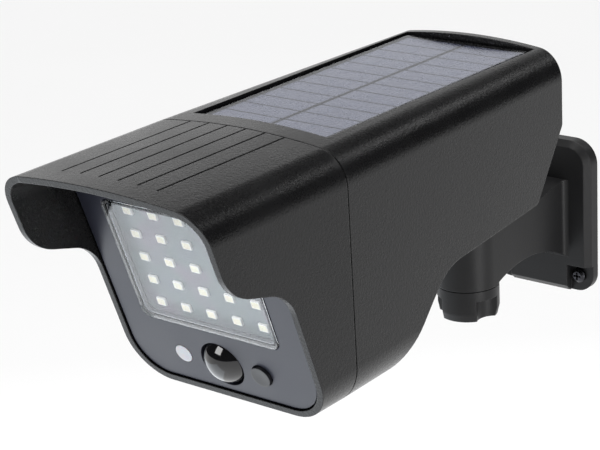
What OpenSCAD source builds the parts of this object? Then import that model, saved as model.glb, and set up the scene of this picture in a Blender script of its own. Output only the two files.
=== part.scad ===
// Solar wall light with a motion sensor, in the shape of a bullet camera, on a wall bracket
// with a clamped swivel. Millimetres. The origin is the centre of the wall plate's back face,
// the wall is the plane Y = 0, the light faces -Y and +Z is up.

/* [Lamp shell] */
// Width of the hood
body_w = 80; // [78:1:86]
// Width at the back of the rear shell
rear_w = 71; // [68:1:76]
// Height from the crown of the roof to the bottom
body_h = 84.5; // [83:0.5:88]
// Length of the rear shell behind the seam
shell_l = 125.4; // [124:0.2:132]
// Length of the visor in front of the seam, along the roof
visor_l = 64.7; // [62:0.1:70]
// Wall thickness of both shells
wall = 2.2; // [2:0.1:2.6]
// Lean of the light's face from upright, in degrees
rake = 18.9; // [17:0.1:20]
// Number of grooves in the visor's roof
grooves = 6; // [4:1:6]

/* [Light and sensors] */
// LED columns
led_columns = 5; // [3:1:5]
// LED rows
led_rows = 5; // [3:1:5]
// Spacing between LED columns
led_pitch_x = 10.3; // [9:0.1:10.5]
// Spacing between LED rows
led_pitch_y = 8.85; // [8:0.05:9]
// Radius of the opening for the motion sensor's dome
dome_hole_r = 8.3; // [8:0.1:8.6]
// Radius of the opening for the push button
button_hole_r = 3.9; // [3.6:0.1:4.2]
// Travel of the push button
button_travel = 1; // [0.6:0.1:1.1]

/* [Solar panel] */
// Width of the panel
panel_w = 50; // [46:1:51]
// Length of the panel
panel_l = 111.2; // [105:0.2:112]

/* [Wall bracket] */
// Distance from the wall to the swivel's vertical axis
reach = 54; // [53:0.5:60]
// Width of the wall plate
plate_w = 44; // [43:1:50]
// Height of the wall plate
plate_h = 59.2; // [58:0.2:64]
// Thickness of the wall plate
plate_t = 6.5; // [6:0.5:8]
// Radius of the swivel barrel, which is half the width of the arm
barrel_r = 11.5; // [11:0.1:12]

/* [Hidden] */
$fn = 64;
black = [0.06, 0.06, 0.065];
grey_black = [0.16, 0.165, 0.18];
steel = [0.72, 0.73, 0.75];
board_green = [0.05, 0.3, 0.16];

// --- places that everything is worked out from ---
rear_over = 8.2;                   // the rear shell's overhang behind the swivel axis
seam_y = -reach + rear_over - shell_l;
roof_z = 78.1;                     // crown of the roof above the wall plate's centre
axis_y = shell_l - rear_over;      // swivel axis, in the lamp's own frame
pivot_z = -57;                     // tilt bolt, in the lamp's own frame
barrel_top = -68.8;
barrel_bottom = -89.8;
eps = 0.01;

// --- cross-section of the shells ---
corner_top = 11;
corner_bottom = 15;
crown_r = 265;
crown_fn = 400;

// --- face ---
rake_t = tan(rake);
face_y = -12.6;                    // the rim plane's lowest point, in front of the seam
plate_front = -0.6;                // depths below the rim plane
face_t = 2.6;
plate_back = plate_front - face_t;
window_w = 55.6;
window_h = 45.8;
window_v = 48.8;                   // height of the window's centre up the face
window_front = -0.2;
window_flange = 1.6;               // how far the flange reaches past the window
flange_t = 1.3;
clear_t = 1.5;
led_h = 0.75;
led_size = [3.5, 2.8];
board_top = -4.7;
board_t = 1.6;
led_board_w = 66;
led_board_h = 49.6;
sensor_v = 13.1;                   // height of the dome, white window and button up the face
sensor_x = 16;
face_boss_x = 33;
face_boss_v = [20.5, 77];
face_boss_depth = -8;
ear_t = 2.5;
led_screw_x = 31.2;
led_screw_v = 22;
control_top = -10;
control_w = 57;
control_v = [8.6, 22.2];
control_screw = [25, 18];

// --- fasteners ---
face_screw = [1.45, 2.6, 1.9, 8];      // shank radius, head radius, head height, length
board_screw = [0.95, 1.8, 1.2, 4];
holder_screw = [0.95, 1.8, 1, 2.9];
shell_screw = [1.45, 2.7, 1.9, 13];
wall_screw = [1.45, 2.8, 2, 9];
screw_neck_r = 1.9;                    // plain neck of a wall screw, as long as its hole
fit = 0.03;                            // clearance of a screw in its own hole

// --- solar panel ---
panel_y = 9.6;
panel_z = -2.24;
panel_t = 2.4;
cover_t = 0.4;
cells_t = 0.4;
recess_gap = 1.7;
seam_gap = 0.5;                     // shadow line between the two shells
seam_depth = 1;

// --- rear shell ---
step_low = 21.5;                   // where the underside's slanted step starts and ends
step_high = 51;
lug_r = 6.5;
lug_w = 9;
screw_x = 24;
screw_z = -76.6;

// --- battery ---
cell_r = 9.1;
cell_l = 65;
cell_y = 60;                       // middle of the cell
cell_z = -37;
holder_low = -48.8;
holder_screw_y = [cell_y - 4, cell_y + 28];

// --- bracket ---
plate_z = -roof_z;                 // wall plate's centre, in the lamp's own frame
wall_y = axis_y + reach;
plate_y = wall_y - plate_t;
plate_bevel = 2.2;
pocket_depth = 3.3;
pocket_w = 9.5;
pocket_h = 10.8;
screw_low = [16, -23.2];           // from the plate's centre
screw_high = [0, 24];
arch_r = 50.3;
bolt_r = 2.5;
knob_gap = 0.3;

// ---------- helpers ----------

function unit2(v) = v / norm(v);

// The arc that rounds the corner at b between a and c, where b is [x, y, radius]
function corner_arc(a, b, c, steps) =
    let (
        p = [b[0], b[1]],
        u = unit2([a[0], a[1]] - p),
        v = unit2([c[0], c[1]] - p),
        half = acos(u * v) / 2,
        centre = p + unit2(u + v) * b[2] / sin(half),
        from = p + u * b[2] / tan(half) - centre,
        to = p + v * b[2] / tan(half) - centre,
        start = atan2(from[1], from[0]),
        raw = atan2(to[1], to[0]) - start,
        turn = raw > 180 ? raw - 360 : raw < -180 ? raw + 360 : raw
    )
    [for (i = [0:steps]) centre + b[2] * [cos(start + turn * i / steps), sin(start + turn * i / steps)]];

// An outline of corners [x, y, radius], each rounded by its own radius
function rounded(corners, steps = 10) =
    let (n = len(corners))
    [for (i = [0:n - 1])
        each corners[i][2] == 0
            ? [[corners[i][0], corners[i][1]]]
            : corner_arc(corners[(i + n - 1) % n], corners[i], corners[(i + 1) % n], steps)];

// From the lamp's own frame, whose origin is the roof's crown at the seam, to the part's frame
module in_lamp() {
    translate([0, seam_y, roof_z]) children();
}

// The face's frame: x across, y up the slanted face, z outwards, zero on the rim plane
module on_face() {
    in_lamp() translate([0, face_y, -body_h]) rotate([90 + rake, 0, 0]) children();
}

// A shape in X and Z, extruded from y0 back to y1
module along_y(y0, y1) {
    translate([0, y1, 0]) rotate([90, 0, 0]) linear_extrude(y1 - y0) children();
}

// A shape in Y and Z, extruded across the width w
module across(w) {
    translate([-w / 2, 0, 0]) rotate([90, 0, 90]) linear_extrude(w) children();
}

// A box by its low and high corners
module span(low, high) {
    translate(low) cube(high - low);
}

module rounded_rect(w, h, r) {
    square([w - 2 * r, h], center = true);
    square([w, h - 2 * r], center = true);
    for (x = [-1, 1], y = [-1, 1])
        translate([x * (w / 2 - r), y * (h / 2 - r)]) circle(r);
}

// A slab of a rounded rectangle between two depths on the face
module face_slab(w, h, r, low, high) {
    translate([0, 0, low]) linear_extrude(high - low) rounded_rect(w, h, r);
}

// A cylinder between two heights
module post(r, low, high) {
    translate([0, 0, low]) cylinder(r = r, h = high - low);
}

// A pan-head screw: the head's underside is at 0 and the shank points down
module screw(s) {
    difference() {
        union() {
            post(s[1], 0, s[2] * 0.55);
            translate([0, 0, s[2] * 0.55]) cylinder(r1 = s[1], r2 = s[1] * 0.62, h = s[2] * 0.45);
            post(s[0], -s[3] + s[0], 0);
            translate([0, 0, -s[3]]) cylinder(r1 = s[0] * 0.25, r2 = s[0], h = s[0]);
        }
        for (a = [0, 90])
            rotate(a)
                translate([0, 0, s[2] * 0.8])
                    cube([s[1] * 1.1, s[1] * 0.26, s[2]], center = true);
    }
}

// The shells' outline, inset by a wall's thickness
module body_section(inset = 0) {
    side = body_w / 2 - corner_top;
    corner_z = -crown_r + sqrt(pow(crown_r - corner_top, 2) - side * side);
    tangent_x = side * crown_r / (crown_r - corner_top);
    bottom_x = body_w / 2 - corner_bottom;
    bottom_z = corner_bottom - body_h;
    intersection() {
        translate([0, -crown_r]) circle(crown_r - inset, $fn = crown_fn);
        translate([-tangent_x, corner_z]) square([2 * tangent_x, 20]);
    }
    for (x = [-1, 1]) {
        translate([x * side, corner_z]) circle(corner_top - inset);
        translate([x * bottom_x, bottom_z]) circle(corner_bottom - inset);
    }
    translate([inset - body_w / 2, bottom_z]) square([body_w - 2 * inset, corner_z - bottom_z]);
    translate([-bottom_x, inset - body_h]) square([2 * bottom_x, corner_bottom]);
}

// A closed band of the section, from one inset to a deeper one
module section_ring(outer, inner, y0, y1) {
    difference() {
        along_y(y0, y1) body_section(outer);
        along_y(y0 - 1, y1 + 1) body_section(inner);
    }
}

// Side view of the hood: raked visor, lobe, hollow and raked face
module hood_profile() {
    above = 5;
    lobe_z = -29.1;
    hollow_z = -36.2;
    polygon(rounded([
        [-visor_l - above * rake_t, above, 0],
        [-visor_l - lobe_z * rake_t, lobe_z, 16],
        [face_y - (body_h + hollow_z) * rake_t, hollow_z, 16],
        [face_y + above * rake_t, -body_h - above, 0],
        [0, -body_h - above, 0],
        [0, above, 0]
    ]));
}

// Height of the rear shell's underside behind its step
function underside(y) = -58.1 + y * 0.0608;

// Side view of the rear shell: cut-away at the back and a hollow below
module shell_profile(front = 0) {
    below = -body_h;
    polygon(rounded([
        [front, 5, 0],
        [front, below, 0],
        [step_low, below, 10],
        [step_high, underside(step_high), 21],
        [shell_l - 17.2, underside(shell_l - 17.2), 3],
        [shell_l, -28, 2],
        [shell_l, 5, 0]
    ]));
}

// The section drawn out to the back and narrowed on the way
module tapered(inset) {
    rotate([-90, 0, 0])
        linear_extrude(shell_l, scale = [rear_w / body_w, 1], slices = 1)
            mirror([0, 1]) body_section(inset);
}

// ---------- lamp shell ----------

module front_hood() color(black) {
    on_face() {
        for (x = [-1, 1], v = face_boss_v)
            translate([x * face_boss_x, v, 0]) difference() {
                post(3.4, face_boss_depth - ear_t, face_boss_depth);
                post(face_screw[0] + 0.15, face_boss_depth - ear_t - 1, face_boss_depth + 1);
            }
    }
    in_lamp() {
        difference() {
            intersection() {
                along_y(-visor_l - 5, 0) body_section();
                across(body_w + 2) hood_profile();
            }
            along_y(-visor_l - 6, 1) body_section(wall);
            section_ring(-1, seam_depth, -seam_gap, 1);
            roof_grooves();
        }
        ear_webs();
        for (x = [-1, 1]) hood_boss(x);
    }
}

// Thin grooves along the visor's roof, open at the seam
module roof_grooves() {
    groove_pitch = 7.46;
    groove_w = 0.7;
    groove_depth = 0.7;
    groove_l = 56.2;
    middle = -1.5;
    for (i = [0:grooves - 1]) {
        x = middle + (i - (grooves - 1) / 2) * groove_pitch;
        translate([0, 0, -crown_r])
            rotate([0, asin(x / crown_r), 0])
                span([-groove_w / 2, -groove_l, crown_r - groove_depth], [groove_w / 2, 1, crown_r + 1]);
    }
}

// Webs from the hood's side walls to the four ears that the face screws go through
module ear_webs() {
    intersection() {
        along_y(-visor_l, 0) body_section(wall / 2);
        translate([0, face_y, -body_h]) rotate([90 + rake, 0, 0])
            for (x = [-1, 1], v = face_boss_v)
                translate([x * (face_boss_x + 4.4), v, face_boss_depth - ear_t / 2])
                    cube([4.4, 6.8, ear_t], center = true);
    }
}

// Boss inside the bottom of the hood that takes a shell screw
module hood_boss(x) {
    boss_r = 3.4;
    difference() {
        union() {
            translate([x * screw_x, -1.2, screw_z]) rotate([90, 0, 0]) cylinder(r = boss_r, h = 9.4);
            span([x * screw_x - 1.2, -9.9, -body_h + wall / 2], [x * screw_x + 1.2, -5.3, screw_z - 2.5]);
        }
        translate([x * screw_x, 0, screw_z]) rotate([90, 0, 0]) cylinder(r = shell_screw[0] + fit, h = 20);
    }
}

module rear_shell() color(black) in_lamp() {
    difference() {
        union() {
            difference() {
                intersection() {
                    tapered(0);
                    across(body_w + 2) shell_profile();
                }
                intersection() {
                    tapered(wall);
                    across(body_w + 2) offset(delta = -wall) shell_profile(-20);
                }
            }
            panel_pan(wall);
            shell_lip();
            hinge_lug();
            for (x = [-1, 1]) screw_tube(x);
            holder_posts();
        }
        panel_pan(0);
        for (x = [-1, 1]) screw_passage(x);
        translate([0, axis_y, pivot_z]) rotate([0, 90, 0])
            cylinder(r = bolt_r + 0.08, h = 3 * lug_w, center = true);
        translate([0, panel_y + 8, panel_z - panel_t - 4]) cylinder(r = 3, h = 5);
    }
}

// The recess for the panel, or with a margin the pan that forms its floor and walls
module panel_pan(margin) {
    half = panel_w / 2 + recess_gap + margin;
    high = margin > 0 ? -4.2 : 5;
    span([-half, panel_y - recess_gap - margin, panel_z - panel_t - margin],
         [half, panel_y + panel_l + recess_gap + margin * 0.4, high]);
}

// Lip at the seam that slides into the hood
module shell_lip() {
    lip_out = wall + 1;
    lip_in = lip_out + 1.6;
    difference() {
        union() {
            section_ring(wall - 0.6, lip_in, 0.4, 2.6);
            section_ring(lip_out, lip_in, -5, 0.5);
        }
        for (x = [-1, 1])
            translate([x * screw_x, 3, screw_z]) rotate([90, 0, 0]) cylinder(r = 4.2, h = 10);
    }
}

// Lug under the cut-away that hangs in the yoke
module hinge_lug() {
    across(lug_w) union() {
        translate([axis_y, pivot_z]) circle(lug_r);
        polygon([
            [axis_y - lug_r, pivot_z],
            [axis_y + lug_r, pivot_z],
            [axis_y + lug_r, -29.5],
            [axis_y - lug_r, -47]
        ]);
    }
}

// Tube along the bottom for a shell screw, from the seam to the hollow behind
module screw_tube(x) {
    intersection() {
        translate([x * screw_x, 38, screw_z]) rotate([90, 0, 0]) cylinder(r = 4, h = 38.8);
        union() {
            span([-40, -1, -90], [40, 0.5, -60]);
            intersection() {
                tapered(wall / 2);
                across(body_w) offset(delta = -wall / 2) shell_profile(-20);
            }
        }
    }
}

module screw_passage(x) {
    seat_y = 4;
    translate([x * screw_x, seat_y + 1, screw_z]) rotate([90, 0, 0]) cylinder(r = 1.7, h = 10);
    translate([x * screw_x, 45, screw_z]) rotate([90, 0, 0]) cylinder(r = 3.1, h = 45 - seat_y);
}

// Two posts on the shell's floor for the battery holder
module holder_posts() {
    for (y = holder_screw_y)
        translate([0, y, 0]) difference() {
            post(3.2, underside(y) + 1, holder_low - 0.05);
            post(board_screw[0] + fit, underside(y) + 1.5, holder_low + 1);
        }
}

module seam_gasket() color([0.12, 0.12, 0.12]) in_lamp()
    section_ring(wall + 0.1, wall + 0.9, -4.6, -0.4);

module shell_screws() color(steel) in_lamp()
    for (x = [-1, 1])
        translate([x * screw_x, 4, screw_z]) rotate([-90, 0, 0]) screw(shell_screw);

// ---------- light and sensors ----------

module face_plate() color(grey_black) {
    difference() {
        union() {
            intersection() {
                in_lamp() along_y(-visor_l, 0) body_section(wall + 0.6);
                on_face() span([-50, -10, plate_back], [50, 110, plate_front]);
            }
            on_face() {
                for (x = [-1, 1], v = face_boss_v)
                    translate([x * face_boss_x, v, 0]) post(2.8, face_boss_depth, plate_back + eps);
                for (x = [-1, 1], v = [-1, 1])
                    translate([x * led_screw_x, window_v + v * led_screw_v, 0])
                        post(1.7, board_top, plate_back + eps);
                for (x = [-1, 1])
                    translate([x * control_screw[0], control_screw[1], 0])
                        post(2.2, control_top, plate_back + eps);
            }
        }
        on_face() {
            translate([0, window_v, 0])
                face_slab(window_w + 0.3, window_h + 0.3, 3.6, plate_back - 1, plate_front + 1);
            translate([0, sensor_v, 0]) post(dome_hole_r, plate_back - 1, plate_front + 1);
            translate([-sensor_x, sensor_v, 0]) post(3.3, plate_back - 1, plate_front + 1);
            translate([sensor_x, sensor_v, 0]) post(button_hole_r, plate_back - 1, plate_front + 1);
            for (x = [-1, 1], v = face_boss_v)
                translate([x * face_boss_x, v, 0])
                    post(face_screw[0] + fit, face_boss_depth - 1, plate_front - 0.8);
            for (x = [-1, 1], v = [-1, 1])
                translate([x * led_screw_x, window_v + v * led_screw_v, 0])
                    post(board_screw[0] + fit, board_top - 1, plate_front - 0.8);
            for (x = [-1, 1])
                translate([x * control_screw[0], control_screw[1], 0])
                    post(board_screw[0] + fit, control_top - 1, plate_back - 1);
        }
    }
}

// Screws that hold the face plate, heads inwards
module face_screws() color(steel) on_face()
    for (x = [-1, 1], v = face_boss_v)
        translate([x * face_boss_x, v, face_boss_depth - ear_t - 0.02]) rotate([180, 0, 0]) screw(face_screw);

// Clear tray: the front sheet, its side walls and a flange behind the face plate
module led_window() color([0.85, 0.9, 0.95, 0.4]) on_face() translate([0, window_v, 0])
    difference() {
        union() {
            face_slab(window_w, window_h, 3.5, plate_back - 0.5, window_front);
            face_slab(window_w + 2 * window_flange, window_h + 2 * window_flange, 4.5,
                plate_back - flange_t, plate_back - 0.02);
        }
        face_slab(window_w - 2 * clear_t, window_h - 2 * clear_t, 2.2,
            plate_back - flange_t - 1, window_front - clear_t);
    }

module window_gasket() color([0.85, 0.85, 0.83]) on_face() translate([0, window_v, 0])
    difference() {
        face_slab(window_w + 2 * window_flange, window_h + 2 * window_flange, 4.5,
            board_top + eps, plate_back - flange_t - eps);
        face_slab(window_w, window_h, 3, board_top - 1, plate_back);
    }

module led_board() color([0.72, 0.76, 0.82]) on_face() translate([0, window_v, 0])
    difference() {
        face_slab(led_board_w, led_board_h, 2, board_top - board_t, board_top);
        for (x = [-1, 1], v = [-1, 1])
            translate([x * led_screw_x, v * led_screw_v, 0])
                post(board_screw[0] + 0.1, board_top - 3, board_top + 1);
    }

// LED packages on their grid
module leds() color([1, 0.97, 0.8]) on_face()
    for (i = [0:led_columns - 1], j = [0:led_rows - 1])
        translate([(i - (led_columns - 1) / 2) * led_pitch_x,
                window_v + (j - (led_rows - 1) / 2) * led_pitch_y - 0.2, board_top + led_h / 2 + eps])
            cube([led_size[0], led_size[1], led_h], center = true);

// Dome over the motion sensor, with a skirt and a flange behind the face plate
module pir_lens() color([0.05, 0.05, 0.06]) on_face() translate([0, sensor_v, 0]) {
    skirt_r = dome_hole_r - 0.3;
    dome_top = 3.3;
    skirt_top = -2;
    skin = 0.9;
    dome_r = (skirt_r * skirt_r + pow(dome_top - skirt_top, 2)) / (2 * (dome_top - skirt_top));
    rotate_extrude() difference() {
        union() {
            intersection() {
                translate([0, dome_top - dome_r]) circle(dome_r);
                translate([0, skirt_top]) square([skirt_r, 10]);
            }
            translate([0, plate_back - flange_t]) square([skirt_r, skirt_top - plate_back + flange_t]);
            translate([0, plate_back - flange_t]) square([skirt_r + 1.4, flange_t - 0.02]);
        }
        intersection() {
            translate([0, dome_top - dome_r]) circle(dome_r - skin);
            translate([0, skirt_top]) square([skirt_r - skin, 10]);
        }
        translate([0, plate_back - flange_t - 1]) square([skirt_r - skin, skirt_top - plate_back + flange_t + 1]);
        translate([-20, -20]) square([20, 40]);
    }
}

// White window with a light pipe down to the light sensor
module status_window() color("white") on_face() translate([-sensor_x, sensor_v, 0]) {
    post(3.2, plate_back - 0.5, plate_front + 0.1);
    post(4.4, plate_back - 1, plate_back - 0.02);
    post(1.9, -7.6, plate_back - 0.9);
}

// Button cap: its dished face stands out of the plate, the flange stops it behind
module push_button() color([0.05, 0.05, 0.055]) on_face() translate([sensor_x, sensor_v, 0]) {
    cap_top = 0.5;
    difference() {
        post(button_hole_r - 0.3, plate_back - 0.2, cap_top);
        translate([0, 0, cap_top + 39.88]) sphere(r = 40, $fn = 160);
    }
    post(button_hole_r + 0.8, plate_back - 1.4, plate_back - 0.1);
}

module control_board() color(board_green) on_face() difference() {
    span([-control_w / 2, control_v[0], control_top - board_t], [control_w / 2, control_v[1], control_top - eps]);
    for (x = [-1, 1])
        translate([x * control_screw[0], control_screw[1], 0])
            post(board_screw[0] + 0.1, control_top - 3, control_top + 1);
}

// Metal can of the motion sensor, with its rim
module pir_sensor() color(steel) on_face() translate([0, sensor_v, control_top]) {
    post(4.6, 0, 0.6);
    post(4.1, 0.5, 4.3);
}

module light_sensor() color([0.8, 0.85, 0.9]) on_face() translate([-sensor_x, sensor_v, control_top]) {
    post(1.5, 0, 1);
    translate([0, 0, 1]) intersection() {
        sphere(r = 1.3);
        post(2, -0.2, 2);
    }
}

module button_switch() color([0.1, 0.1, 0.1]) on_face() translate([sensor_x, sensor_v, control_top]) {
    span([-3, -3, 0], [3, 3, 3.4]);
    post(1.7, 3.3, 4.1);
}

// Small screws: four through the LED board and two through the control board
module board_screws() color(steel) on_face() {
    for (x = [-1, 1], v = [-1, 1])
        translate([x * led_screw_x, window_v + v * led_screw_v, board_top - board_t - 0.02])
            rotate([180, 0, 0]) screw(board_screw);
    for (x = [-1, 1])
        translate([x * control_screw[0], control_screw[1], control_top - board_t - 0.02])
            rotate([180, 0, 0]) screw(board_screw);
}

// ---------- solar panel ----------

// One layer of the panel between two depths below its surface
module panel_layer(inset, top, bottom) {
    in_lamp() span([inset - panel_w / 2, panel_y + inset, panel_z - bottom],
        [panel_w / 2 - inset, panel_y + panel_l - inset, panel_z - top]);
}

module solar_cover() color([0.6, 0.65, 0.75, 0.35]) panel_layer(0, 0, cover_t);

// Cells in two rows of narrow strips
module solar_cells() color([0.1, 0.12, 0.25]) {
    strips = 12;
    edge = 1.6;
    gap = 0.5;
    strip_l = (panel_l - 2 * edge - (strips - 1) * gap) / strips;
    strip_w = (panel_w - 2 * edge - gap) / 2;
    in_lamp()
        for (side = [0, 1], i = [0:strips - 1])
            translate([-panel_w / 2 + edge + side * (strip_w + gap), panel_y + edge + i * (strip_l + gap),
                    panel_z - cover_t - cells_t])
                cube([strip_w, strip_l, cells_t - eps]);
}

module solar_board() color([0.08, 0.1, 0.2])
    panel_layer(0, cover_t + cells_t + eps, panel_t);

// ---------- battery ----------

module battery_cell() color([0.2, 0.35, 0.6]) in_lamp()
    translate([0, cell_y, cell_z]) rotate([90, 0, 0]) {
        cylinder(r = cell_r, h = cell_l, center = true);
        translate([0, 0, cell_l / 2 - eps]) cylinder(r = 2.8, h = 1.3);
    }

// Cradle with a rounded bed and an end wall at each end
module battery_holder() color([0.1, 0.1, 0.1]) in_lamp()
    translate([0, cell_y, 0]) difference() {
        half_w = 10.6;
        half_l = cell_l / 2 + 5;
        span([-half_w, -half_l, holder_low], [half_w, half_l, cell_z]);
        translate([0, cell_l / 2 + 2.6, cell_z]) rotate([90, 0, 0]) cylinder(r = cell_r + 0.3, h = cell_l + 5.2);
        for (y = holder_screw_y)
            translate([0, y - cell_y, holder_low - 1]) {
                cylinder(r = board_screw[0] + 0.15, h = 9);
                translate([0, 0, 2.2]) cylinder(r = 2.3, h = 9);
            }
    }

module battery_contacts() color([0.85, 0.82, 0.7]) in_lamp()
    for (y = [-1, 1])
        translate([-6, cell_y + y * (cell_l / 2 + 2) - 0.25, cell_z - 6]) cube([12, 0.5, 11]);

module holder_screws() color(steel) in_lamp()
    for (y = holder_screw_y)
        translate([0, y, holder_low + 1.25]) screw(holder_screw);

// ---------- wires ----------

// A point on the smooth curve through the route's points, at t points along it
function smooth(p, t) =
    let (
        n = len(p),
        i = min(floor(t), n - 2),
        u = t - i,
        a = p[max(i - 1, 0)],
        b = p[i],
        c = p[i + 1],
        d = p[min(i + 2, n - 1)]
    )
    0.5 * (2 * b + (c - a) * u + (2 * a - 5 * b + 4 * c - d) * u * u + (3 * b - a - 3 * c + d) * u * u * u);

// A round wire along a route, drawn as one closed tube
module wire(route, r) {
    sides = 8;
    per_step = 4;
    rings = (len(route) - 1) * per_step;
    centre = [for (k = [0:rings]) smooth(route, k / per_step)];
    frame = [for (k = [0:rings])
        let (
            d = centre[min(k + 1, rings)] - centre[max(k - 1, 0)],
            t = d / norm(d),
            s = cross(t, [0.13, 0.21, 0.97]),
            x = s / norm(s)
        )
        [x, cross(t, x)]];
    points = [for (k = [0:rings], j = [0:sides - 1])
        centre[k] + r * (cos(360 * j / sides) * frame[k][0] + sin(360 * j / sides) * frame[k][1])];
    faces = concat(
        [[for (j = [0:sides - 1]) sides - 1 - j]],
        [for (k = [0:rings - 1], j = [0:sides - 1])
            [k * sides + j, k * sides + (j + 1) % sides,
             (k + 1) * sides + (j + 1) % sides, (k + 1) * sides + j]],
        [[for (j = [0:sides - 1]) rings * sides + j]]
    );
    polyhedron(points, faces, convexity = 4);
}

// Two wires side by side, where shift moves the second
module wire_pair(route, r, shift) {
    wire(route, r);
    wire([for (p = route) p + shift], r);
}

module solar_leads() color([0.7, 0.1, 0.1]) in_lamp()
    wire_pair([
        [-1, 17.6, -6], [-1, 17.6, -10], [-1, 12, -16], [-2, 2, -24], [-4, -4, -40], [-6, -6, -56],
        [-8, -4, -68], [-10, -1.5, -74]
    ], 0.7, [1.7, 0, 0]);

module battery_leads() color([0.75, 0.12, 0.1]) in_lamp()
    wire_pair([
        [13, 60, -46], [13, 50, -48], [13, 36, -50], [12, 24, -56], [11, 14, -64], [10, 6, -70],
        [9, 2, -74], [9, -1.4, -76]
    ], 0.7, [1.7, 0, 0]);

module led_leads() color([0.8, 0.8, 0.8]) on_face()
    wire_pair([
        [19, 29, -6.4], [19, 29, -9.4], [19, 26.5, -13], [19, 21, -15], [19, 17, -14.4], [19, 16, -11.8]
    ], 0.6, [1.5, 0, 0]);

// ---------- wall bracket ----------

// A corner of the wall plate, with its front edge bevelled
module plate_corner(x, z, r) {
    translate([x, plate_y, z]) rotate([-90, 0, 0]) {
        cylinder(r1 = r - plate_bevel, r2 = r, h = plate_bevel);
        translate([0, 0, plate_bevel]) cylinder(r = r, h = plate_t - plate_bevel);
    }
}

// The section of the plate's rim between a low and a high edge, as [position, depth]
module plate_section(low, high) {
    polygon([
        [low, plate_t],
        [low, plate_bevel],
        [low + plate_bevel, 0],
        [high - plate_bevel, 0],
        [high, plate_bevel],
        [high, plate_t]
    ]);
}

// The wall plate, with wide corners above and small ones below
module wall_plate() {
    top_r = 9;
    low_r = 7;
    w = plate_w / 2;
    h = plate_h / 2;
    translate([0, plate_y, plate_z + low_r - h])
        linear_extrude(plate_h - low_r - top_r) plate_section(-w, w);
    translate([top_r - w, plate_y, plate_z]) rotate([90, 0, 90])
        linear_extrude(plate_w - 2 * top_r) rotate(90) mirror([0, 1]) plate_section(-1, h);
    translate([low_r - w, plate_y, plate_z]) rotate([90, 0, 90])
        linear_extrude(plate_w - 2 * low_r) rotate(90) mirror([0, 1]) plate_section(-h, 1);
    for (x = [-1, 1]) {
        plate_corner(x * (w - top_r), plate_z + h - top_r, top_r);
        plate_corner(x * (w - low_r), plate_z + low_r - h, low_r);
    }
}

module wall_bracket() color(black) in_lamp() {
    difference() {
        union() {
            wall_plate();
            bracket_arm();
            translate([0, axis_y, barrel_bottom]) cylinder(r = barrel_r, h = barrel_top - barrel_bottom);
        }
        translate([0, axis_y, 0]) {
            post(6.08, -81, barrel_top + 1);
            post(bolt_r + 0.3, -90, -80);
            post(8, -92, -86);
        }
        for (x = [-1, 1]) {
            low = [x > 0 ? plate_w / 2 - pocket_w : -plate_w / 2 - 1, plate_y - 1, plate_z - plate_h / 2 - 1];
            span(low, low + [pocket_w + 1, pocket_depth + 1, pocket_h + 1]);
            translate([x * screw_low[0], wall_y + 1, plate_z + screw_low[1]]) rotate([90, 0, 0])
                cylinder(r = screw_neck_r + 0.15, h = plate_t + 2);
        }
        translate([0, wall_y + 1, plate_z + screw_high[1]]) rotate([90, 0, 0])
            cylinder(r = screw_neck_r + 0.15, h = plate_t + 2);
        translate([0, plate_y + pocket_depth, plate_z + screw_high[1]]) rotate([90, 0, 0])
            cylinder(r = 4, h = plate_t);
    }
}

// Arm from the plate to the barrel, arched below and flared where it meets the plate
module bracket_arm() {
    flare = 2.2;
    arch_y = axis_y + 20.8;
    arch_z = -85.8 - arch_r;
    arm_top = -63.3;
    difference() {
        union() {
            across(2 * barrel_r) polygon([
                [axis_y, barrel_bottom],
                [axis_y, barrel_top],
                [axis_y + barrel_r + 1, barrel_top],
                [plate_y, arm_top],
                [plate_y + 1, arm_top],
                [plate_y + 1, -99],
                [plate_y, -99]
            ]);
            for (x = [-1, 1])
                translate([x * (barrel_r + flare / 2 - 0.1), plate_y - flare / 2, 0])
                    span([-flare / 2 - 0.1, -flare / 2, -96.7], [flare / 2 + 0.1, flare / 2 + 1, arm_top]);
        }
        translate([0, arch_y, arch_z]) rotate([0, 90, 0])
            cylinder(r = arch_r, h = 60, center = true, $fn = 200);
        for (x = [-1, 1])
            translate([x * (barrel_r + flare), plate_y - flare, -110]) cylinder(r = flare, h = 60);
    }
}

// Two screws in the lower pockets and one above the arm, with necked shanks that go into the wall
module wall_screws() color(steel) in_lamp() translate([0, plate_y + pocket_depth - 0.02, plate_z])
    for (p = [screw_low, [-screw_low[0], screw_low[1]], screw_high])
        translate([p[0], 0, p[1]]) rotate([90, 0, 0]) {
            screw(wall_screw);
            post(screw_neck_r, pocket_depth - plate_t - 0.05, 0.5);
        }

// ---------- swivel ----------

module swivel_yoke() color(black) in_lamp() translate([0, axis_y, 0]) {
    floor_top = -64.2;
    floor_bottom = -68;
    cheek_in = 4.85;
    cheek_t = 4.4;
    cheek_r = 7;
    difference() {
        union() {
            post(11.2, floor_bottom, floor_top);
            post(6, -80, floor_bottom + eps);
            for (x = [-1, 1])
                translate([x * (cheek_in + cheek_t / 2), 0, pivot_z]) rotate([0, 90, 0]) {
                    cylinder(r = cheek_r, h = cheek_t, center = true);
                    translate([4.5, 0, 0]) cube([9, 2 * cheek_r, cheek_t], center = true);
                }
        }
        translate([0, 0, pivot_z]) rotate([0, 90, 0]) cylinder(r = bolt_r + fit, h = 30, center = true);
        post(bolt_r + 0.05, -82, floor_top + 1);
        translate([0, 0, floor_top - 3.7]) cylinder(r = 4.75, h = 5, $fn = 6);
    }
}

module friction_washer() color([0.3, 0.25, 0.2]) in_lamp() translate([0, axis_y, 0])
    difference() {
        post(11, barrel_top + 0.05, -68.05);
        post(6.3, barrel_top - 1, -67);
    }

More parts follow.
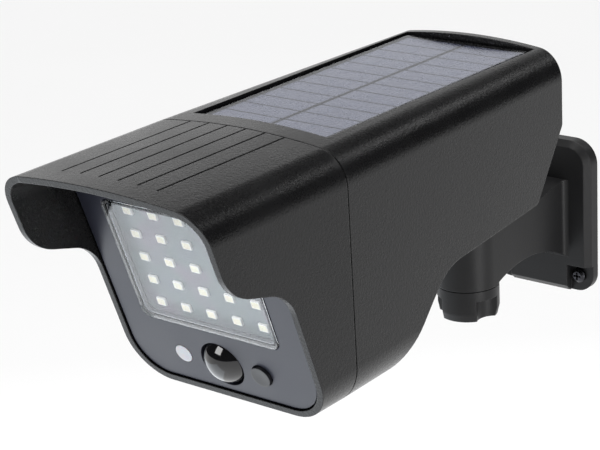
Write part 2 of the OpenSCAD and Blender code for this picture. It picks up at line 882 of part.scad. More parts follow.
// Hexagon-head bolt, head down in the yoke's floor
module clamp_bolt() color(steel) in_lamp() translate([0, axis_y, 0]) {
    translate([0, 0, -67.85]) cylinder(r = 4.6, h = 3.4, $fn = 6);
    post(bolt_r, -98.6, -67.8);
    translate([0, 0, -99]) cylinder(r1 = bolt_r - 0.5, r2 = bolt_r, h = 0.45);
}

module clamp_washer() color(steel) in_lamp() translate([0, axis_y, 0])
    difference() {
        post(5.4, -87.1, -86.1);
        post(bolt_r + 0.3, -88, -85);
    }

// Round flange with three lobes below, hollow in the middle for the bolt and its nut
module clamp_knob() color(black) in_lamp() translate([0, axis_y, 0]) difference() {
    flange_top = barrel_bottom - knob_gap;
    flange_low = flange_top - 3.7;
    knob_low = -101.6;
    lobe_turn = 44.4;
    union() {
        post(11.4, flange_low, flange_top);
        post(5.6, flange_low, -87.15);
        difference() {
            intersection() {
                post(11.4, knob_low, flange_low + eps);
                translate([0, 0, knob_low]) cylinder(r1 = 10.6, r2 = 14, h = 14);
            }
            for (a = [0:120:240])
                rotate(lobe_turn + 60 + a)
                    translate([14.5, 0, knob_low - 1]) cylinder(r = 6.4, h = flange_low - knob_low + 1);
        }
    }
    post(bolt_r + 0.35, -99.4, -80);
    translate([0, 0, -97.6]) cylinder(r = 4.62, h = 4.2, $fn = 6);
}

module knob_nut() color([0.8, 0.65, 0.3]) in_lamp() translate([0, axis_y, 0])
    difference() {
        translate([0, 0, -97.5]) cylinder(r = 4.55, h = 4, $fn = 6);
        post(bolt_r + 0.05, -99, -92);
    }

// Tilt bolt across the yoke, with a round head on the right
module tilt_bolt() color(steel) in_lamp() translate([0, axis_y, pivot_z]) rotate([0, 90, 0])
    difference() {
        union() {
            post(bolt_r, -13.6, 10.4);
            post(4.2, 10.3, 12.6);
        }
        translate([0, 0, 11.4]) cylinder(r = 1.75, h = 2, $fn = 6);
    }

module tilt_nut() color(steel) in_lamp() translate([0, axis_y, pivot_z]) rotate([0, 90, 0])
    difference() {
        translate([0, 0, -13.4]) cylinder(r = 4.5, h = 3.1, $fn = 6);
        post(bolt_r + fit, -15, -9);
    }

module tilt_washers() color(steel) in_lamp() translate([0, axis_y, pivot_z]) rotate([0, 90, 0])
    for (z = [-10.27, 9.27])
        difference() {
            post(5, z, z + 1);
            post(bolt_r + 0.2, z - 1, z + 2);
        }

front_hood();
rear_shell();
seam_gasket();
shell_screws();
face_plate();
face_screws();
led_window();
window_gasket();
led_board();
leds();
pir_lens();
status_window();
push_button();
control_board();
pir_sensor();
light_sensor();
button_switch();
board_screws();
solar_cover();
solar_cells();
solar_board();
battery_cell();
battery_holder();
battery_contacts();
holder_screws();
solar_leads();
battery_leads();
led_leads();
wall_bracket();
wall_screws();
swivel_yoke();
friction_washer();
clamp_bolt();
clamp_washer();
clamp_knob();
knob_nut();
tilt_bolt();
tilt_nut();
tilt_washers();
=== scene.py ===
import bpy
import math
from mathutils import Matrix, Vector


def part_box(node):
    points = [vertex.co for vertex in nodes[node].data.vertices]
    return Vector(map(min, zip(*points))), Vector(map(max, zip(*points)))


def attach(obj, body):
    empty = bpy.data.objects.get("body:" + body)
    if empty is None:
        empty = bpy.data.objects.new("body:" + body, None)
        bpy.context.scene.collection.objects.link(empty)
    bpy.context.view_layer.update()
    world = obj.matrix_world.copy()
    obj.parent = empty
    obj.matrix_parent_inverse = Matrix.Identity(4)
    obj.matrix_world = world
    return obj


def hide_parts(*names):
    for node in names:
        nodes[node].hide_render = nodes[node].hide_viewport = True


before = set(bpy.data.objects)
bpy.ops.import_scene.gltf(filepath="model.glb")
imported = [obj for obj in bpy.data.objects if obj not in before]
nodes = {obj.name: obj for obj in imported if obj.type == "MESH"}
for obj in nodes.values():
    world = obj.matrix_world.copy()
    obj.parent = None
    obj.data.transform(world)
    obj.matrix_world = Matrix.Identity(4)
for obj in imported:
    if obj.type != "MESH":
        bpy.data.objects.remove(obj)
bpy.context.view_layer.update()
scene = bpy.context.scene
MM = 0.001


def direction(azimuth, elevation):
    """Unit vector from the object; azimuth 0 is in front of it and 90 degrees to its right."""
    return Vector((math.sin(azimuth) * math.cos(elevation),
                   -math.cos(azimuth) * math.cos(elevation),
                   math.sin(elevation)))


# ---------- camera ----------

CAMERA_AZIMUTH = math.radians(39.87)
CAMERA_ELEVATION = math.radians(19.70)
CAMERA_ROLL = math.radians(-3.41)
CAMERA_PLACE = Vector((0.3751, -0.5954, 0.2484))
SENSOR_MM = 36
LENS_MM = 117.3
CLIP_NEAR = 0.05
CLIP_FAR = 20

camera = bpy.data.cameras.new("camera")
camera.sensor_width = SENSOR_MM
camera.lens = LENS_MM
camera.clip_start = CLIP_NEAR
camera.clip_end = CLIP_FAR
camera_object = bpy.data.objects.new("camera", camera)
scene.collection.objects.link(camera_object)
scene.camera = camera_object
back = direction(CAMERA_AZIMUTH, CAMERA_ELEVATION)
right = (-back).cross(Vector((0, 0, 1))).normalized()
up = right.cross(-back)
turned_right = right * math.cos(CAMERA_ROLL) + up * math.sin(CAMERA_ROLL)
turned_up = -right * math.sin(CAMERA_ROLL) + up * math.cos(CAMERA_ROLL)
camera_matrix = Matrix((turned_right, turned_up, back)).transposed().to_4x4()
camera_matrix.translation = CAMERA_PLACE
camera_object.matrix_world = camera_matrix

# ---------- materials ----------

MIX_FACTOR, MIX_A, MIX_B = 0, 6, 7    # a colour mix node's sockets
NOISE_LOW, NOISE_HIGH = 0.3, 0.7      # nearly all of a noise's values lie between these
BEVEL_SAMPLES = 4
EDGE_FLAT, EDGE_SHARP = 0.995, 0.8    # how far the rounded normal agrees with the flat one
CLOUD_MM = 26                         # patches of uneven sheen on moulded plastic
CLOUD_DARK, CLOUD_PALE = 0.86, 1.14   # tones of the patches
GRAIN_PALE = 1.35                     # tone of the grain's tops
GRAIN_SMOOTH, GRAIN_ROUGH = -0.04, 0.05
PIT_SIZE, PIT_DEPTH = 1.7, 0.6        # pits between the grains, in grains
WEAR_MM, WEAR_WIDTH_MM = 5, 0.7       # breaks in the worn edges, and how far in the wear reaches
WEAR_LEAST = 0.25
WEAR_POLISH = 0.1                     # how much smoother a worn edge is
RUB_MM, RUB_LENGTH, RUB_MOST = 1.1, 0.12, 0.35    # fine rubs across moulded plastic
PALER, PALER_LIFT = 1.9, 0.012        # tone of worn edges and rubs
SHADED_RADIUS_MM = 0.45               # edge radius that the shells' shading adds
DUST_MM, DUST_SHARE, DUST_ROUGH = 1.4, 0.25, 0.14
PEEL_MM, PEEL_DEPTH_MM = 2.2, 0.006   # orange peel on polished plastic
ACRYLIC_IOR = 1.49
SHEET_IOR = 1.27                      # sheen of the panel's thin sheet
LINES_MM, LINES_DEPTH_MM = 0.5, 0.008     # tool marks on metal
TARNISH_MM = 2.5
CELL_STRIPS = 12                      # strips along the solar panel
CELL_GAP_MM = 0.5                     # between two strips
CUT_EDGE_MM = 0.45                    # dull edge of a strip
FINGER_PITCH_MM = 1.5                 # silver lines along a strip


def rgba(colour):
    return (*colour, 1)


def shade(colour, factor, lift=0.0):
    """A paler or darker tone of a colour."""
    return rgba([min(1, c * factor + lift) for c in colour])


class Finish:
    """A Principled material, with the node patterns that its sockets are driven by."""

    def __init__(self, name, colour, roughness, **sockets):
        self.mat = bpy.data.materials.new(name)
        self.mat.use_nodes = True
        self.tree = self.mat.node_tree
        self.shader = self.tree.nodes["Principled BSDF"]
        self.place = self.add("ShaderNodeTexCoord").outputs["Object"]
        self.normal = None
        self.shader.inputs["Base Color"].default_value = rgba(colour)
        self.shader.inputs["Roughness"].default_value = roughness
        for socket, value in sockets.items():
            self.shader.inputs[socket.replace("_", " ")].default_value = value

    def add(self, kind, **properties):
        node = self.tree.nodes.new(kind)
        for key, value in properties.items():
            setattr(node, key, value)
        return node

    def put(self, socket, value):
        if isinstance(value, bpy.types.NodeSocket):
            self.tree.links.new(value, socket)
        else:
            socket.default_value = value

    def paint(self, socket_name, value):
        self.put(self.shader.inputs[socket_name], value)

    def math(self, operation, *values):
        node = self.add("ShaderNodeMath", operation=operation)
        for socket, value in zip(node.inputs, values):
            self.put(socket, value)
        return node.outputs[0]

    def span(self, value, low, high, to_low=0, to_high=1):
        """Maps low..high to to_low..to_high, and holds the ends."""
        node = self.add("ShaderNodeMapRange")
        self.put(node.inputs["Value"], value)
        for key, number in (("From Min", low), ("From Max", high), ("To Min", to_low), ("To Max", to_high)):
            node.inputs[key].default_value = number
        return node.outputs["Result"]

    def spread(self, noise, to_low=0, to_high=1):
        """Maps a noise's usual range to to_low..to_high."""
        return self.span(noise, NOISE_LOW, NOISE_HIGH, to_low, to_high)

    def mix(self, factor, a, b):
        node = self.add("ShaderNodeMix", data_type="RGBA")
        self.put(node.inputs[MIX_FACTOR], factor)
        self.put(node.inputs[MIX_A], a)
        self.put(node.inputs[MIX_B], b)
        return node.outputs[2]

    def show(self, factor, under, over):
        """Replaces the Principled shader on the surface by a mix of two shaders."""
        mixed = self.add("ShaderNodeMixShader")
        self.put(mixed.inputs[0], factor)
        self.put(mixed.inputs[1], under)
        self.put(mixed.inputs[2], over)
        self.put(self.tree.nodes["Material Output"].inputs["Surface"], mixed.outputs[0])

    def noise(self, size_mm, detail=2.0, roughness=0.5, stretch=None, distortion=0.0):
        node = self.add("ShaderNodeTexNoise")
        node.inputs["Scale"].default_value = 1 / (size_mm * MM)
        node.inputs["Detail"].default_value = detail
        node.inputs["Roughness"].default_value = roughness
        node.inputs["Distortion"].default_value = distortion
        place = self.place
        if stretch:
            mapping = self.add("ShaderNodeMapping")
            self.put(mapping.inputs["Vector"], self.place)
            mapping.inputs["Scale"].default_value = stretch
            place = mapping.outputs["Vector"]
        self.put(node.inputs["Vector"], place)
        return node.outputs["Fac"]

    def cells(self, size_mm, feature="F1"):
        node = self.add("ShaderNodeTexVoronoi", feature=feature)
        node.inputs["Scale"].default_value = 1 / (size_mm * MM)
        self.put(node.inputs["Vector"], self.place)
        return node.outputs["Distance"]

    def axis(self, index):
        node = self.add("ShaderNodeSeparateXYZ")
        self.put(node.inputs[0], self.place)
        return node.outputs[index]

    def rounded_normal(self, radius_mm):
        bevel = self.add("ShaderNodeBevel", samples=BEVEL_SAMPLES)
        bevel.inputs["Radius"].default_value = radius_mm * MM
        return bevel.outputs["Normal"]

    def edges(self, radius_mm):
        """0 on flat stretches and 1 at edges and corners."""
        dot = self.add("ShaderNodeVectorMath", operation="DOT_PRODUCT")
        self.put(dot.inputs[0], self.rounded_normal(radius_mm))
        self.put(dot.inputs[1], self.add("ShaderNodeNewGeometry").outputs["Normal"])
        return self.span(dot.outputs["Value"], EDGE_FLAT, EDGE_SHARP)

    def bump(self, height, depth_mm):
        """Adds relief; it comes on top of the normal so far."""
        node = self.add("ShaderNodeBump")
        node.inputs["Strength"].default_value = 1.0
        node.inputs["Distance"].default_value = depth_mm * MM
        self.put(node.inputs["Height"], height)
        if self.normal is not None:
            self.put(node.inputs["Normal"], self.normal)
        self.normal = node.outputs["Normal"]
        self.paint("Normal", self.normal)


def moulded(name, colour, low, high, grain_mm, depth_mm, wear, scuffed, **sockets):
    """Moulded plastic: spark-eroded grain, uneven satin, paler and smoother edges, a few fine rubs."""
    f = Finish(name, colour, (low + high) / 2, **sockets)
    grain = f.noise(grain_mm, 3, 0.6)
    pits = f.cells(grain_mm * PIT_SIZE)
    cloud = f.noise(CLOUD_MM, 3, 0.55)
    breaks = f.span(f.noise(WEAR_MM, 4, 0.6), 0.35, 0.7, WEAR_LEAST, 1)
    worn = f.math("MULTIPLY", f.edges(WEAR_WIDTH_MM), breaks)
    rubs = f.noise(RUB_MM, 2, 0.5, stretch=(1, RUB_LENGTH, 1), distortion=0.4)
    rubs = f.span(rubs, 0.66, 0.78, 0, RUB_MOST)
    paler = shade(colour, PALER, PALER_LIFT)
    tone = f.mix(f.spread(cloud), shade(colour, CLOUD_DARK), shade(colour, CLOUD_PALE))
    tone = f.mix(f.span(grain, 0.3, 0.75, 0.0, 0.5), tone, shade(colour, GRAIN_PALE))
    tone = f.mix(f.math("MULTIPLY", worn, wear), tone, paler)
    f.paint("Base Color", f.mix(f.math("MULTIPLY", rubs, scuffed), tone, paler))
    rough = f.math("ADD", f.spread(cloud, low, high), f.spread(grain, GRAIN_SMOOTH, GRAIN_ROUGH))
    f.paint("Roughness", f.math("SUBTRACT", rough, f.math("MULTIPLY", worn, WEAR_POLISH)))
    f.normal = f.rounded_normal(SHADED_RADIUS_MM)
    f.bump(grain, depth_mm)
    f.bump(pits, depth_mm * PIT_DEPTH)
    return f.mat


def glossy(name, colour, roughness, **sockets):
    """Polished plastic with a faint orange peel and a trace of dust."""
    f = Finish(name, colour, roughness, **sockets)
    dust = f.span(f.noise(DUST_MM, 4, 0.7), 0.6, 0.8)
    f.paint("Roughness", f.span(dust, 0, 1, roughness, roughness + DUST_ROUGH))
    dusty = shade(colour, 1.5, 0.01)
    f.paint("Base Color", f.mix(f.math("MULTIPLY", dust, DUST_SHARE), rgba(colour), dusty))
    f.bump(f.noise(PEEL_MM, 1, 0.4), PEEL_DEPTH_MM)
    return f.mat


def clear(name, tint, roughness):
    """Clear moulded plastic that lets the light on to what is behind it."""
    f = Finish(name, tint, roughness, Transmission_Weight=1.0, IOR=ACRYLIC_IOR)
    f.paint("Roughness", f.span(f.noise(7, 3, 0.6), 0.4, 0.7, roughness, roughness + 0.02))
    through = f.add("ShaderNodeBsdfTransparent")
    through.inputs["Color"].default_value = shade(tint, 0.97)
    shadow = f.add("ShaderNodeLightPath").outputs["Is Shadow Ray"]
    f.show(shadow, f.shader.outputs[0], through.outputs[0])
    return f.mat


def laminate(name, tint, roughness):
    """Thin clear sheet over the solar cells: what is under it shows through its shine."""
    f = Finish(name, tint, roughness)
    f.tree.nodes.remove(f.shader)
    through = f.add("ShaderNodeBsdfTransparent")
    through.inputs["Color"].default_value = rgba(tint)
    shine = f.add("ShaderNodeBsdfGlossy")
    shine.inputs["Color"].default_value = (0.96, 0.97, 1.0, 1)
    haze = f.span(f.noise(9, 3, 0.6), 0.35, 0.65, roughness - 0.03, roughness + 0.03)
    f.put(shine.inputs["Roughness"], haze)
    sheen = f.add("ShaderNodeFresnel")
    sheen.inputs["IOR"].default_value = SHEET_IOR
    # From inside, a Fresnel node's share rises to 1, so only the sheet's outer side shines
    inside = f.add("ShaderNodeNewGeometry").outputs["Backfacing"]
    share = f.math("MULTIPLY", sheen.outputs[0], f.math("SUBTRACT", 1.0, inside))
    f.show(share, through.outputs[0], shine.outputs[0])
    return f.mat


def metal(name, colour, roughness, brushed=None, tarnish=(0.3, 0.28, 0.25)):
    """Plated or turned metal: fine lines, uneven roughness and dull patches."""
    f = Finish(name, colour, roughness, Metallic=1.0)
    lines = f.noise(LINES_MM, 3, 0.6, stretch=brushed)
    dull = f.span(f.noise(TARNISH_MM, 4, 0.65), 0.5, 0.75, 0, 0.5)
    f.paint("Base Color", f.mix(dull, rgba(colour), rgba(tarnish)))
    rough = f.spread(lines, roughness - 0.06, roughness + 0.1)
    f.paint("Roughness", f.math("ADD", rough, f.math("MULTIPLY", dull, 0.2)))
    f.bump(lines, LINES_DEPTH_MM)
    return f.mat


def soft(name, colour, roughness, grain_mm, depth_mm, **sockets):
    """Rubber, foam, fibre, insulation or cast resin: an even colour with a fine grain."""
    f = Finish(name, colour, roughness, **sockets)
    grain = f.noise(grain_mm, 4, 0.65)
    f.paint("Base Color", f.mix(f.spread(grain), shade(colour, 0.8), shade(colour, 1.2)))
    patches = f.noise(grain_mm * 8)
    f.paint("Roughness", f.spread(patches, roughness - 0.06, min(1, roughness + 0.06)))
    f.bump(grain, depth_mm)
    return f.mat


def led_board_finish():
    """Pale solder mask with a faint play of colours painted into its colour as a stand-in for its iridescent
    sheen, copper pours showing through and fine weave.
    """
    f = Finish("led_board", (0.098, 0.115, 0.121), 0.32)
    # painted sheen: blue, green and violet tints in drifting patches stand in for the mask's iridescence; the
    # mask's own tint underneath is real
    painted_sheen_hue = f.noise(17, 1.5, 0.5)
    tone = f.mix(f.span(painted_sheen_hue, 0.32, 0.5), (0.074, 0.093, 0.112, 1), (0.080, 0.112, 0.108, 1))
    tone = f.mix(f.span(painted_sheen_hue, 0.5, 0.66), tone, (0.112, 0.090, 0.120, 1))
    pours = f.span(f.noise(11, 0, 0.5), 0.49, 0.5)
    weave = f.noise(0.7, 2, 0.5)
    f.paint("Base Color", f.mix(f.math("MULTIPLY", pours, 0.12), tone, (0.066, 0.078, 0.095, 1)))
    f.paint("Roughness", f.spread(weave, 0.28, 0.38))
    f.bump(pours, 0.02)
    f.bump(weave, 0.006)
    return f.mat


def circuit_finish():
    """Green solder mask with tracks under it."""
    f = Finish("green_board", (0.02, 0.13, 0.05), 0.35)
    tracks = f.span(f.cells(2.6, "DISTANCE_TO_EDGE"), 0.06, 0.1, 1, 0)
    f.paint("Base Color", f.mix(tracks, (0.012, 0.1, 0.035, 1), (0.05, 0.22, 0.09, 1)))
    f.paint("Roughness", f.spread(f.noise(0.8), 0.3, 0.42))
    f.bump(tracks, 0.03)
    return f.mat


def solar_cell_finish():
    """Blue-black silicon with silver fingers; each strip is darker at its edges, where it was cut."""
    f = Finish("solar_cell", (0.030, 0.037, 0.075), 0.25, IOR=1.55)
    crystal = f.noise(5, 3, 0.6)
    base = f.mix(f.span(crystal, 0.35, 0.65), (0.016, 0.019, 0.038, 1), (0.028, 0.033, 0.062, 1))
    finger = f.math("FRACT", f.math("MULTIPLY", f.axis(0), 1 / (FINGER_PITCH_MM * MM)))
    line = f.span(f.math("ABSOLUTE", f.math("SUBTRACT", finger, 0.5)), 0.05, 0.09, 1, 0)
    silicon = f.mix(f.math("MULTIPLY", line, 0.35), base, (0.32, 0.33, 0.36, 1))
    low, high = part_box("solar_cells")
    gap, edge = CELL_GAP_MM * MM, CUT_EDGE_MM * MM
    pitch = (high[1] - low[1] + gap) / CELL_STRIPS
    strip = f.math("FRACT", f.math("DIVIDE", f.math("SUBTRACT", f.axis(1), low[1] - gap / 2), pitch))
    from_middle = f.math("ABSOLUTE", f.math("SUBTRACT", strip, 0.5))
    cut = f.span(from_middle, 0.5 - edge / pitch, 0.5 - 0.6 * edge / pitch)
    centre = f.math("ABSOLUTE", f.math("SUBTRACT", f.axis(0), (low[0] + high[0]) / 2))
    cut = f.math("MAXIMUM", cut, f.span(centre, 2.2 * edge, 1.6 * edge))
    f.paint("Base Color", f.mix(cut, silicon, (0.004, 0.004, 0.005, 1)))
    f.paint("Roughness", f.math("MAXIMUM", f.spread(crystal, 0.2, 0.32), f.math("MULTIPLY", cut, 0.9)))
    f.bump(line, 0.01)
    return f.mat


def wrap_finish():
    """Shrink wrap on the cell, with soft folds along it."""
    f = Finish("cell_wrap", (0.03, 0.12, 0.34), 0.28)
    folds = f.noise(6, 2, 0.5, stretch=(1, 0.15, 1))
    f.paint("Base Color", f.mix(f.span(folds, 0.4, 0.6), (0.025, 0.10, 0.30, 1), (0.04, 0.15, 0.40, 1)))
    f.paint("Roughness", f.spread(folds, 0.22, 0.36))
    f.bump(folds, 0.05)
    return f.mat


# name, colour, lowest and highest roughness, grain and its depth in mm, worn edges, rubs
SHELL = moulded("shell_black", (0.0045, 0.0045, 0.0048), 0.24, 0.31, 0.55, 0.06, 0.55, 0.25,
                Specular_IOR_Level=0.28)
FACE = moulded("face_black", (0.017, 0.019, 0.032), 0.33, 0.42, 0.4, 0.012, 0.3, 0.15)
BRACKET = moulded("bracket_black", (0.012, 0.012, 0.0125), 0.34, 0.44, 0.45, 0.022, 0.6, 0.35,
                  Specular_IOR_Level=0.2)
INNER = moulded("inner_black", (0.018, 0.018, 0.018), 0.45, 0.6, 0.6, 0.04, 0.4, 0.3)

# name, colour, roughness
DOME = glossy("dark_gloss", (0.006, 0.006, 0.007), 0.07, IOR=1.5, Coat_Weight=0.6, Coat_Roughness=0.03)
BUTTON = glossy("button_black", (0.010, 0.010, 0.012), 0.3)
WHITE = glossy("white_plastic", (0.52, 0.53, 0.57), 0.3, Subsurface_Weight=0.3, Subsurface_Scale=0.002)
CLEAR = clear("clear_plastic", (0.97, 0.98, 1.0), 0.0)
COVER = laminate("cover_plastic", (0.93, 0.94, 0.98), 0.16)
STEEL = metal("steel", (0.62, 0.62, 0.64), 0.3)
BLACK_STEEL = metal("black_steel", (0.045, 0.045, 0.05), 0.26, tarnish=(0.02, 0.02, 0.022))
BRASS = metal("brass", (0.72, 0.52, 0.24), 0.32, brushed=(1, 1, 0.1), tarnish=(0.42, 0.28, 0.13))
NICKEL = metal("nickel", (0.66, 0.64, 0.6), 0.28, brushed=(0.15, 1, 1))

# name, colour, roughness, grain and its depth in mm
SEAL = soft("seal_rubber", (0.022, 0.022, 0.022), 0.75, 0.3, 0.03)
FOAM = soft("gasket_foam", (0.62, 0.62, 0.60), 0.9, 0.35, 0.12)
BACKING = soft("solar_backing", (0.010, 0.011, 0.016), 0.85, 0.1, 0.01)
RED = soft("wire_red", (0.42, 0.02, 0.02), 0.42, 0.6, 0.01)
PALE = soft("wire_white", (0.7, 0.7, 0.7), 0.42, 0.6, 0.01)
FIBRE = soft("fibre", (0.10, 0.075, 0.055), 0.8, 0.25, 0.05)
PACKAGE = soft("led_package", (0.82, 0.81, 0.77), 0.4, 0.3, 0.006)
PHOSPHOR = soft("led_phosphor", (0.83, 0.79, 0.60), 0.35, 0.25, 0.01,
                Subsurface_Weight=0.2, Subsurface_Scale=0.0006)
LED_BOARD = led_board_finish()
GREEN = circuit_finish()
CELL = solar_cell_finish()
WRAP = wrap_finish()

# ---------- CAD nodes that are shown as they are ----------

WELD_REACH = 2e-6
EDGE_ANGLE = math.radians(32)

CARRIED = {  # node: (material, edge radius in mm, steps round the edge)
    "front_hood": (SHELL, 0.32, 3),
    "rear_shell": (SHELL, 0.4, 3),
    "seam_gasket": (SEAL, 0.1, 2),
    "shell_screws": (STEEL, 0.12, 2),
    "face_plate": (FACE, 0.3, 3),
    "face_screws": (STEEL, 0.12, 2),
    "window_gasket": (FOAM, 0.05, 2),
    "led_board": (LED_BOARD, 0.1, 2),
    "pir_lens": (DOME, 0.15, 2),
    "status_window": (WHITE, 0.15, 2),
    "push_button": (BUTTON, 0.3, 3),
    "control_board": (GREEN, 0.1, 2),
    "pir_sensor": (NICKEL, 0.2, 2),
    "light_sensor": (CLEAR, 0.1, 2),
    "button_switch": (INNER, 0.15, 2),
    "board_screws": (STEEL, 0.08, 2),
    "solar_cover": (COVER, 0.08, 2),
    "solar_cells": (CELL, 0.05, 1),
    "solar_board": (BACKING, 0.15, 2),
    "battery_cell": (WRAP, 0.5, 3),
    "battery_holder": (INNER, 0.25, 2),
    "battery_contacts": (NICKEL, 0.08, 1),
    "holder_screws": (STEEL, 0.08, 2),
    "solar_leads": (RED, 0.05, 1),
    "battery_leads": (RED, 0.05, 1),
    "led_leads": (PALE, 0.05, 1),
    "wall_bracket": (BRACKET, 0.5, 3),
    "wall_screws": (BLACK_STEEL, 0.12, 2),
    "swivel_yoke": (BRACKET, 0.4, 3),
    "friction_washer": (FIBRE, 0.1, 2),
    "clamp_bolt": (STEEL, 0.2, 2),
    "clamp_washer": (STEEL, 0.1, 2),
    "clamp_knob": (BRACKET, 0.5, 3),
    "knob_nut": (BRASS, 0.2, 2),
    "tilt_bolt": (STEEL, 0.3, 2),
    "tilt_nut": (STEEL, 0.2, 2),
    "tilt_washers": (STEEL, 0.1, 2),
}


def even_shading(piece):
    """Large faces set the shading, so that they stay flat beside narrow rounded edges."""
    piece.modifiers.new("shading", "WEIGHTED_NORMAL").keep_sharp = False


def round_edges(piece, radius_mm, segments):
    """Joins the split corners of a CAD mesh and rounds its edges, as a moulding's or a pressing's are."""
    weld = piece.modifiers.new("weld", "WELD")
    weld.merge_threshold = WELD_REACH
    bevel = piece.modifiers.new("edges", "BEVEL")
    bevel.width = radius_mm * MM
    bevel.segments = segments
    bevel.limit_method = "ANGLE"
    bevel.angle_limit = EDGE_ANGLE
    bevel.miter_outer = "MITER_ARC"
    even_shading(piece)
    for polygon in piece.data.polygons:
        polygon.use_smooth = True


for name, (material, radius_mm, segments) in CARRIED.items():
    node = nodes[name]
    node.data.materials.clear()
    node.data.materials.append(material)
    round_edges(node, radius_mm, segments)

# ---------- pieces built here ----------

# The face's frame: u across, v up the slanted face, w outwards from the rim plane, in mm
RAKE = math.radians(18.9)
HOOD_SEAM_Y, HOOD_TOP_Z = -171.2, 78.1    # the roof's crown at the seam between the shells
FACE_FOOT_Y, FACE_FOOT_Z = -12.6, -84.5   # from there to the foot of the rim
FACE_ORIGIN = Vector((0, HOOD_SEAM_Y + FACE_FOOT_Y, HOOD_TOP_Z + FACE_FOOT_Z))
FACE_UP = Vector((0, -math.sin(RAKE), math.cos(RAKE)))
FACE_OUT = Vector((0, -math.cos(RAKE), -math.sin(RAKE)))


def on_face(u, v, w):
    return (FACE_ORIGIN + Vector((u, 0, 0)) + FACE_UP * v + FACE_OUT * w) * MM


def new_piece(name, points, faces, body, replaced, materials, kinds=None):
    """A smooth mesh in place of a CAD node; kinds gives each face's material."""
    mesh = bpy.data.meshes.new(name)
    mesh.from_pydata(points, [], faces)
    mesh.validate()
    for material in materials:
        mesh.materials.append(material)
    for index, polygon in enumerate(mesh.polygons):
        polygon.use_smooth = True
        if kinds:
            polygon.material_index = kinds[index]
    piece = bpy.data.objects.new(name, mesh)
    scene.collection.objects.link(piece)
    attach(piece, body)
    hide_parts(replaced)
    return piece


def rounded_loop(w, h, r, per_corner):
    """Points round a rounded rectangle, counter-clockwise."""
    points = []
    for corner in range(4):
        cx = (w / 2 - r) * (1 if corner in (0, 3) else -1)
        cy = (h / 2 - r) * (1 if corner in (0, 1) else -1)
        for step in range(per_corner + 1):
            a = math.radians(90 * corner + 90 * step / per_corner)
            points.append((cx + r * math.cos(a), cy + r * math.sin(a)))
    return points


def lofted(steps, middle_u, middle_v, per_corner, start=0):
    """Closed skin through rounded rectangles on the face; a step is width, height, corner radius, depth."""
    points, faces = [], []
    count = 4 * (per_corner + 1)
    for w, h, r, depth in steps:
        points += [on_face(middle_u + x, middle_v + y, depth) for x, y in rounded_loop(w, h, r, per_corner)]
    for step in range(len(steps) - 1):
        a = start + step * count
        for k in range(count):
            n = (k + 1) % count
            faces.append([a + k, a + n, a + count + n, a + count + k])
    last = start + (len(steps) - 1) * count
    faces.append([start + k for k in reversed(range(count))])
    faces.append([last + k for k in range(count)])
    return points, faces


# Clear tray over the LEDs, from the inside of its front sheet, round the flange, to the outside
TRAY_W, TRAY_H, TRAY_V = 55.6, 45.8, 48.8
TRAY_FRONT, TRAY_SKIN, TRAY_FLANGE = -0.2, 1.5, 1.6
FLANGE_TOP, FLANGE_BACK = -2.62, -3.9
INNER_RADIUS, OUTER_RADIUS, FLANGE_RADIUS = 2.2, 3.5, 4.5    # of its corners
INNER_ROUND, TRAY_ROUND = 0.3, 0.5                           # of its front edges
ROUND_STEPS = 4
TRAY_CORNER_STEPS = 8


def tray_step(grow, radius, depth):
    return (TRAY_W + 2 * grow, TRAY_H + 2 * grow, radius, depth)


tray_steps = [
    tray_step(-TRAY_SKIN - INNER_ROUND, INNER_RADIUS - INNER_ROUND, TRAY_FRONT - TRAY_SKIN),
    tray_step(-TRAY_SKIN, INNER_RADIUS, TRAY_FRONT - TRAY_SKIN - INNER_ROUND),
    tray_step(-TRAY_SKIN, INNER_RADIUS, FLANGE_BACK),
    tray_step(TRAY_FLANGE, FLANGE_RADIUS, FLANGE_BACK),
    tray_step(TRAY_FLANGE, FLANGE_RADIUS, FLANGE_TOP),
    tray_step(0, OUTER_RADIUS, FLANGE_TOP),
]
for step in range(ROUND_STEPS + 1):
    turn = math.radians(90 * step / ROUND_STEPS)
    fall = TRAY_ROUND * (1 - math.cos(turn))
    rise = TRAY_FRONT - TRAY_ROUND * (1 - math.sin(turn))
    tray_steps.append(tray_step(-fall, OUTER_RADIUS - fall, rise))
points, faces = lofted(tray_steps, 0, TRAY_V, TRAY_CORNER_STEPS)
tray = new_piece("led_tray", points, faces, "lamp", "led_window", [CLEAR])
even_shading(tray)

# LED packages: a pale body with a well of phosphor in its top
LED_COLUMNS, LED_ROWS = 5, 5
LED_PITCH_U, LED_PITCH_V, LED_MIDDLE_V = 10.3, 8.85, 48.6
LED_LOW, LED_TOP = -4.69, -3.94
LED_STEPS = (  # width, height, corner radius and depth of each loop from the board up and into the well
    (3.5, 2.8, 0.12, LED_LOW),
    (3.5, 2.8, 0.12, LED_TOP - 0.12),
    (3.42, 2.72, 0.14, LED_TOP - 0.03),
    (3.28, 2.58, 0.16, LED_TOP),
    (2.9, 2.2, 0.3, LED_TOP),
    (2.8, 2.1, 0.3, LED_TOP - 0.09),
    (2.0, 1.5, 0.3, LED_TOP - 0.04),
)
WELL_STEP = 4    # the first step of the well
LED_CORNER_STEPS = 2
LED_SHARP = math.radians(50)
PACKAGE_FACE, PHOSPHOR_FACE = 0, 1

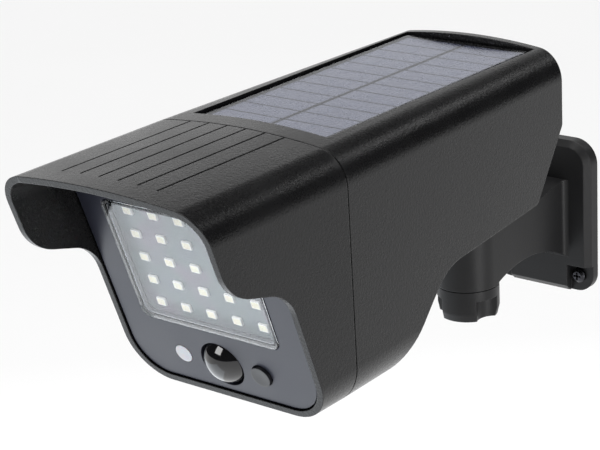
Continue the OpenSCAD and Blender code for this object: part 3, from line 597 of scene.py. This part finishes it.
led_loop = 4 * (LED_CORNER_STEPS + 1)
led_kinds = [PACKAGE_FACE] * (led_loop * WELL_STEP)
led_kinds += [PHOSPHOR_FACE] * (led_loop * (len(LED_STEPS) - 1 - WELL_STEP))
led_kinds += [PACKAGE_FACE, PHOSPHOR_FACE]
points, faces, kinds = [], [], []
for column in range(LED_COLUMNS):
    for row in range(LED_ROWS):
        u = (column - (LED_COLUMNS - 1) / 2) * LED_PITCH_U
        v = LED_MIDDLE_V + (row - (LED_ROWS - 1) / 2) * LED_PITCH_V
        more_points, more_faces = lofted(LED_STEPS, u, v, LED_CORNER_STEPS, len(points))
        points += more_points
        faces += more_faces
        kinds += led_kinds
leds = new_piece("led_packages", points, faces, "lamp", "leds", [PACKAGE, PHOSPHOR], kinds)
leds.modifiers.new("edges", "EDGE_SPLIT").split_angle = LED_SHARP

# ---------- floor, world and lights ----------

FLOOR_Z = -0.8
FLOOR_REACH = 8
FLOOR_DARK, FLOOR_PALE = 0.925, 0.94
ROOM = 0.03        # brightness of the room round the softboxes
SKY_ENERGY = 3.1
SKY_ANGLE = math.radians(60)
LOOK_AT = Vector((0, -0.12, 0.03))
ARM = Vector((0.02, -0.03, -0.01))

floor_mesh = bpy.data.meshes.new("floor")
floor_corners = [(FLOOR_REACH * x, FLOOR_REACH * y, FLOOR_Z) for x, y in ((-1, -1), (1, -1), (1, 1), (-1, 1))]
floor_mesh.from_pydata(floor_corners, [], [(0, 1, 2, 3)])
floor = bpy.data.objects.new("floor", floor_mesh)
scene.collection.objects.link(floor)
floor_finish = Finish("floor", [0.93] * 3, 0.8)
floor_tone = floor_finish.mix(floor_finish.noise(400), rgba([FLOOR_DARK] * 3), rgba([FLOOR_PALE] * 3))
floor_finish.paint("Base Color", floor_tone)
floor_mesh.materials.append(floor_finish.mat)


def studio_world():
    """White to look at; a dim room to be lit by."""
    world = bpy.data.worlds.new("studio")
    world.use_nodes = True
    tree = world.node_tree
    lit = tree.nodes.new("ShaderNodeBackground")
    lit.inputs["Strength"].default_value = ROOM
    seen = tree.nodes["Background"]
    seen.inputs["Color"].default_value = (1, 1, 1, 1)
    mixed = tree.nodes.new("ShaderNodeMixShader")
    path = tree.nodes.new("ShaderNodeLightPath")
    tree.links.new(path.outputs["Is Camera Ray"], mixed.inputs[0])
    tree.links.new(lit.outputs[0], mixed.inputs[1])
    tree.links.new(seen.outputs[0], mixed.inputs[2])
    tree.links.new(mixed.outputs[0], tree.nodes["World Output"].inputs["Surface"])
    return world


def new_lamp(name, light):
    lamp = bpy.data.objects.new(name, light)
    scene.collection.objects.link(lamp)
    return lamp


def softbox(azimuth, elevation, distance, size, radiance, colour=(1, 1, 1), about=LOOK_AT):
    """An area light in that direction and distance from a point; angles in degrees, sizes in metres."""
    width, height = size
    light = bpy.data.lights.new("softbox", "AREA")
    light.shape = "RECTANGLE"
    light.size = width
    light.size_y = height
    light.energy = radiance * math.pi * width * height
    light.color = colour
    lamp = new_lamp("softbox", light)
    outwards = direction(math.radians(azimuth), math.radians(elevation))
    lamp.location = about + outwards * distance
    lamp.rotation_euler = (-outwards).to_track_quat("-Z", "Y").to_euler()
    lamp.visible_camera = False


scene.world = studio_world()
scene.view_settings.view_transform = "Standard"
sky = bpy.data.lights.new("overhead", "SUN")
sky.energy = SKY_ENERGY
sky.angle = SKY_ANGLE
new_lamp("overhead", sky)

# Key light
softbox(azimuth=-21, elevation=27, distance=1.3, size=(0.62, 0.6), radiance=6.5)
# Low, to the left of the face
softbox(azimuth=-62, elevation=-46, distance=0.80, size=(1.3, 0.6), radiance=0.8, colour=(0.80, 0.90, 1))
# Behind on the left
softbox(azimuth=-140, elevation=13, distance=1.6, size=(2.6, 1.0), radiance=1.0)
# Along the shoulder
softbox(azimuth=156, elevation=34, distance=1.3, size=(0.5, 0.10), radiance=5.0)
# On the bracket, from the right
softbox(azimuth=75, elevation=4, distance=0.6, size=(0.3, 0.6), radiance=5.0, about=ARM)
